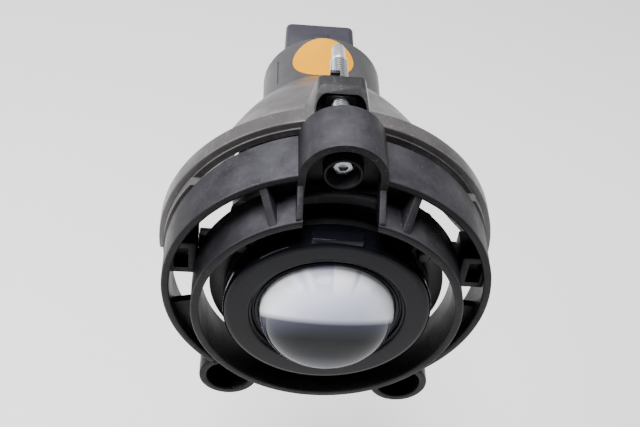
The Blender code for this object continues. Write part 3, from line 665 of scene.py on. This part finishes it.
def hood():
    rim, dome = hood_lines()
    lining = [(s, r - HOOD_WALL) for s, r in reversed(dome)]
    shell = turned("housing_hood", rim[:-1] + dome + lining + [(28.0, 52.4), (17.7, 52.8)])
    sill = side_plate("sill", [
        (10, -70), (10, -6.5), (24, -4.6), (33, HOOD_SILL_Z), (100, HOOD_SILL_Z), (100, -70)], 140.0)
    shell = cut(shell, sill,
                box("lip", (-70, 70), (10, 21.4), (30, 70)),
                box("screw_slot", (-8.9, 8.9), (10, 38.2), (44.5, 70)), nut_slot())
    finished(shell, GREY, "lamp_module", "housing_grey", "rear_housing")
    core = turned("housing_core", soften([
        (3.8, CORE_R), (58.0, CORE_R), (77.0, 24.9), (86.0, 24.1), (86.0, 20.8), (83.0, 20.8), (83.0, 22.5),
        (79.6, 22.5), (79.6, 18.0), (72.7, 18.0), (72.7, 10.0), (69.5, 10.0), (69.5, 24.0), (56.0, 27.9),
        (34.6, 27.9), (34.6, 29.8), (3.8, 29.8)], 0.5))
    flange_outline = arc(0, 0, 39.2, 130, 410, 80) + arc(0, 0, 31.5, 410, 130, 80)
    flange = prism("front_flange", [flange_outline], 4.4, 6.8, 0.4)
    for dark_piece in (core, flange):
        finished(dark_piece, INNER, "lamp_module", "carrier_black", "rear_housing")


def nut_slot():
    reach = NUT_NECK_R
    outline = arc(0, SCREW_Z + 1.25, reach, 0, 180, 16) + arc(0, SCREW_Z - 1.25, reach, 180, 360, 16)
    return prism("nut_slot", [outline], 37.5, 46.0)


def lug():
    outside = ([(-11.8, 44.0), (11.8, 44.0)]
               + arc(5.6, 57.8, 2.4, 10, 90, 8) + arc(-5.6, 57.8, 2.4, 90, 170, 8))
    inside = [(-10.0, 42.0), (10.0, 42.0)] + arc(4.6, 54.8, 3.6, 0, 90, 8) + arc(-4.6, 54.8, 3.6, 90, 180, 8)
    arch_piece = prism("nut_lug", [outside], 27.0, LUG_REAR)
    arch_piece = cut(
        arch_piece, prism("lug_tunnel", [inside], 25.0, 38.3),
        side_plate("lug_ramp", [(20, 51.5), (26, 51.5), (36.2, 60.6), (36.2, 66), (20, 66)], 40.0),
        rod("lug_under", 46.5, (0, 24, 0), (0, 50, 0), sides=ROUND), nut_slot())
    finished(bevelled(arch_piece, 0.45), LUG_GREY_SHADED, "lamp_module", "housing_grey", "rear_housing")


def hood_supports():
    for sign in (-1, 1):
        side = "left" if sign < 0 else "right"
        web = side_plate("hood_web_" + side, [
            (30.0, 31.0), (30.0, 53.0), (43.0, 44.9), (61.0, 36.9), (61.0, 31.0)],
            2.2, turn=sign * math.radians(38.0), bevel=0.4)
        trunnion = rod("pivot_boss_" + side, 4.3, (sign * 31.0, PIVOT_STATION, PIVOT_Z),
                       (sign * 43.1, PIVOT_STATION, PIVOT_Z), bevel=0.4)
        for piece in (web, trunnion):
            finished(piece, INNER, "lamp_module", "carrier_black", "rear_housing")
    for number in (1, 2, 3):
        node = "carrier_screw_%d" % number
        x = (low(node, X) + high(node, X)) / 2
        z = (low(node, Z) + high(node, Z)) / 2
        post = rod("screw_post_%d" % number, 4.2, (x, 4.1, z), (x, 15.0, z), bevel=0.4)
        post = cut(post, rod("post_bore", 29.8, (0, 3, 0), (0, 16, 0), sides=ROUND),
                   rod("post_hole", 1.7, (x, 3, z), (x, 12.6, z), sides=24))
        finished(post, INNER, "lamp_module", "carrier_black", "rear_housing")


def gloss_ring():
    ring = turned("gloss_ring", soften([
        (-9.0, GLOSS_R - 2.0), (-8.7, GLOSS_R - 0.9), (-8.0, GLOSS_R - 0.2), (-6.9, GLOSS_R), (-1.0, GLOSS_R),
        (-1.0, 32.6), (-6.6, 32.6), (-6.6, LENS_R + 0.2), (-7.3, LENS_R + 0.2), (-7.6, 23.7), (-6.9, 23.9),
        (-6.9, 24.5), (-8.0, 24.8), (-8.2, 25.5), (-8.9, 25.9), (-9.0, 26.6)], 0.35), sides=160)
    # A flat pad stands on the ring's top edge.
    ring = join(ring, box("ring_pad", (-8.0, 8.0), (-8.4, -4.6), (33.0, 35.2), bevel=0.2))
    finished(ring, GLOSS, "lamp_module", "gloss_black", "lens_retaining_ring", angle=50.0)


def lens():
    sag = -5.0 - (low("lens", Y) + EAR_STATION)
    squareness = 2.0 / 2.6
    steps = 40
    outline = []
    for i in range(steps):
        angle = math.pi / 2 * i / steps
        outline.append((-5.0 - sag * math.cos(angle) ** squareness, LENS_R * math.sin(angle) ** squareness))
    outline += [(-5.0, LENS_R), (-5.0, 26.0), (-3.2, 26.0), (-3.2, 0.0)]
    finished(turned("lens_dome", outline, sides=96, closed=False), LENS, "lamp_module", "lens_glass", "lens")


# ---------------------------------------------------------------- cap and connector

def cap():
    shell = turned("cap_shell", [(CAP_REAR - 2.6, 0.0), (CAP_REAR - 2.6, 17.4), (79.9, 17.4)] + soften([
        (79.9, 20.2), (84.2, 20.2), (84.2, 18.6), (85.6, 18.6), (85.6, 20.2), (CAP_FRONT, 20.2),
        (CAP_FRONT, CAP_R), (CAP_REAR - 1.4, CAP_R), (CAP_REAR, CAP_R - 1.4), (CAP_REAR, 0.0)], 0.8,
        closed=False), closed=False)
    seam = box("seam", (-0.35, 0.35), (92.0, 106.0), (CAP_R - 0.5, CAP_R + 1.0))
    seam.data.transform(Matrix.Rotation(math.radians(-52.0), 4, "Y"))
    slots = []
    for x in (PLUG_X - 3.6, PLUG_X + 3.6):
        slots.append(box("terminal_slot", (x - 1.8, x + 1.8), (105, 118), (PLUG_Z - 0.8, PLUG_Z + 0.8)))
    finished(cut(shell, seam, *slots), CAP_GREY, "rear_cap", "cap_grey", "rear_cap")


def connector():
    outside = rounded_rectangle(PLUG_WIDTH, PLUG_HEIGHT, 2.6, PLUG_X, PLUG_Z, 10)
    inside = rounded_rectangle(PLUG_WIDTH - 4.4, PLUG_HEIGHT - 4.4, 1.6, PLUG_X, PLUG_Z, 8)
    shroud = prism("connector_housing", [outside], CAP_REAR + 0.1, PLUG_REAR, bevel=0.5)
    shroud = cut(shroud, prism("mouth", [inside], CAP_REAR + 2.6, PLUG_REAR + 1.0))
    latch = side_plate("connector_catch", [(118.0, 15.0), (118.6, 18.1), (123.0, 16.9), (123.0, 15.0)], 6.0,
                       x=PLUG_X, bevel=0.3)
    for made in (shroud, latch):
        finished(made, PLUG_GREY, "rear_cap", "connector_dark", "connector_shroud")


def dot():
    centre = (low("inspection_dot", Y) + high("inspection_dot", Y)) / 2 + EAR_STATION
    x = (low("inspection_dot", X) + high("inspection_dot", X)) / 2
    radius = (high("inspection_dot", X) - low("inspection_dot", X)) / 2
    sleeve = turned("orange_dot", [(87.4, CAP_R + 0.3), (111.4, CAP_R + 0.3), (111.4, CAP_R + 0.1),
                                   (87.4, CAP_R + 0.1)])
    sleeve = keep_inside(sleeve, rod("punch", radius, (x, centre, 5.0), (x, centre, 35.0), sides=96))
    finished(sleeve, ORANGE, "rear_cap", "orange_label", "inspection_dot")


# ---------------------------------------------------------------- adjuster

def adjuster_screw():
    """The screw's threaded rod, with a real helix, and its plain head and driving end."""
    around = 24
    per_turn = 8
    rows = int((THREAD_REAR - THREAD_FRONT) / THREAD_PITCH * per_turn)
    rings = []
    for row in range(rows + 1):
        station = THREAD_FRONT + row * THREAD_PITCH / per_turn
        ring = []
        for i in range(around):
            phase = (station / THREAD_PITCH + i / around) % 1.0
            depth = THREAD_DEPTH * (1.0 - abs(2.0 * phase - 1.0))
            fade = min(1.0, (rows - row) / per_turn, row / per_turn)
            ring.append((SCREW_R - depth * fade, station, math.tau * i / around))
        rings.append(ring)
    sector = math.tau / 6
    for station, radius in ((THREAD_REAR + 0.5, 2.35), (SCREW_TIP - 0.7, 2.3), (SCREW_TIP, 1.75)):
        ring = []
        for i in range(around):
            angle = math.tau * i / around
            flat_side = math.cos(sector / 2) / math.cos(angle % sector - sector / 2)
            ring.append((radius * (0.55 + 0.45 * flat_side), station, angle))
        rings.append(ring)
    shape = bmesh.new()
    made = [[shape.verts.new(point(r * math.cos(a), s, SCREW_Z + r * math.sin(a))) for r, s, a in ring]
            for ring in rings]
    for first, second in zip(made, made[1:]):
        for i in range(around):
            j = (i + 1) % around
            shape.faces.new((first[i], first[j], second[j], second[i]))
    shape.faces.new(reversed(made[0]))
    shape.faces.new(made[-1])
    bmesh.ops.recalc_face_normals(shape, faces=shape.faces)
    mesh = bpy.data.meshes.new("screw_thread")
    shape.to_mesh(mesh)
    shape.free()
    finished(link("screw_thread", mesh), THREAD, "adjuster_screw", "zinc_steel", "adjuster_screw")
    hexagon = [(u, v + SCREW_Z) for u, v in arc(0, 0, 3.4, 0, 360, 6)[:-1]]
    head = prism("screw_head", [hexagon], 4.8, 7.2, bevel=0.35)
    socket = turned("socket", [(4.0, 0.0), (4.0, 1.7), (6.0, 1.5), (6.4, 0.0)],
                    sides=6, z=SCREW_Z, closed=False)
    shank = turned("screw_shank", soften([
        (7.0, 0.0), (7.0, 4.2), (8.6, 4.2), (8.6, SCREW_R), (THREAD_FRONT, SCREW_R), (THREAD_FRONT, 0.0)],
        0.3, closed=False), sides=SMALL_ROUND, z=SCREW_Z, closed=False)
    finished(cut(head, socket), ZINC_HEAD_SHADED, "adjuster_screw", "zinc_steel", "adjuster_screw")
    finished(shank, ZINC, "adjuster_screw", "zinc_steel", "adjuster_screw")


def adjuster_nut():
    nut = prism("nut_block", [rounded_rectangle(10.0, 7.6, 1.0, 0.0, SCREW_Z)], 34.4, 38.0, bevel=0.3)
    neck = rod("nut_neck", NUT_NECK_R - 0.15, (0, 37.0, SCREW_Z), (0, 42.4, SCREW_Z))
    barb = prism("nut_barb", [rounded_rectangle(11.0, 5.0, 1.0, 0.0, SCREW_Z + 0.4)], 40.9, 42.6, bevel=0.25)
    finger = box("nut_finger", (-3.9, -0.6), (41.4, 42.7), (55.0, 60.9), bevel=0.3)
    nut = join(nut, neck, barb, finger)
    nut = cut(nut, rod("nut_bore", SCREW_R + 0.3, (0, 33, SCREW_Z), (0, 44, SCREW_Z)))
    finished(nut, NYLON, "adjuster_nut", "nut_nylon", "adjuster_nut")


for build in (outer_band, middle_ring, ring_panels, ribs, adjuster_boss, ears, bearing_blocks, hood, lug,
              hood_supports, gloss_ring, lens, cap, connector, dot, adjuster_screw, adjuster_nut):
    build()


# ---------------------------------------------------------------- stage

def studio():
    mesh = bpy.data.meshes.new("studio_floor")
    shape = bmesh.new()
    bmesh.ops.create_grid(shape, x_segments=1, y_segments=1, size=4.0)
    shape.to_mesh(mesh)
    shape.free()
    floor = link("studio_floor", mesh)
    floor.location.z = CAD_BOX[0].z - 0.16
    look = Look("floor_white", 0.9)
    look.color(look.ramp(look.noise(2.0, 2.0), [(0.3, (0.9, 0.9, 0.9)), (0.7, (0.93, 0.93, 0.93))]))
    look.shader.inputs["Emission Color"].default_value = (1.0, 1.0, 1.0, 1.0)
    look.shader.inputs["Emission Strength"].default_value = 0.4
    floor.data.materials.append(look.material)

    world = bpy.data.worlds.new("studio")
    bpy.context.scene.world = world
    world.use_nodes = True
    background = world.node_tree.nodes["Background"]
    background.inputs["Color"].default_value = (0.93, 0.95, 1.0, 1.0)
    background.inputs["Strength"].default_value = 0.16

    softbox("top_softbox", (-0.12, 0.08, 0.8), (0.0, 0.05, 0.0), 0.42, 0.34, 12.5)
    softbox("left_softbox", (-0.62, -0.05, 0.4), (0.0, 0.0, 0.0), 0.4, 0.4, 6.5)
    softbox("right_softbox", (0.75, 0.1, 0.3), (0.0, 0.0, 0.0), 0.3, 0.5, 2.5)


def softbox(name, place, aim, width, height, power):
    light = bpy.data.lights.new(name, "AREA")
    light.shape = "RECTANGLE"
    light.size = width
    light.size_y = height
    light.energy = power
    lamp = bpy.data.objects.new(name, light)
    bpy.context.scene.collection.objects.link(lamp)
    lamp.location = place
    lamp.rotation_euler = (Vector(aim) - Vector(place)).to_track_quat("-Z", "Y").to_euler()


def camera():
    """Above and in front of the lamp, which is rolled a little about its own axis."""
    elevation = math.radians(45.1)
    azimuth = math.radians(-0.66)
    camera_roll = math.radians(-0.25)
    lamp_roll = math.radians(5.6)
    distance = 0.367
    back = Vector((math.sin(azimuth) * math.cos(elevation), -math.cos(azimuth) * math.cos(elevation),
                   math.sin(elevation)))
    forward = -back
    level = forward.cross(Vector((0, 0, 1))).normalized()
    upright = level.cross(forward)
    right = math.cos(camera_roll) * level + math.sin(camera_roll) * upright
    above = -math.sin(camera_roll) * level + math.cos(camera_roll) * upright
    eye = back * distance - right * 0.0021 + above * 0.02702
    roll = Matrix.Rotation(-lamp_roll, 3, "Y")
    eye, right, above, back = (roll @ v for v in (eye, right, above, back))
    data = bpy.data.cameras.new("camera")
    data.lens = 61.9
    data.sensor_width = 36.0
    data.clip_start = 0.01
    view = bpy.data.objects.new("camera", data)
    bpy.context.scene.collection.objects.link(view)
    turn = Matrix((right, above, back)).transposed().to_4x4()
    view.matrix_world = Matrix.Translation(eye + point(0.0, 0.0, 0.0)) @ turn
    bpy.context.scene.camera = view


studio()
camera()
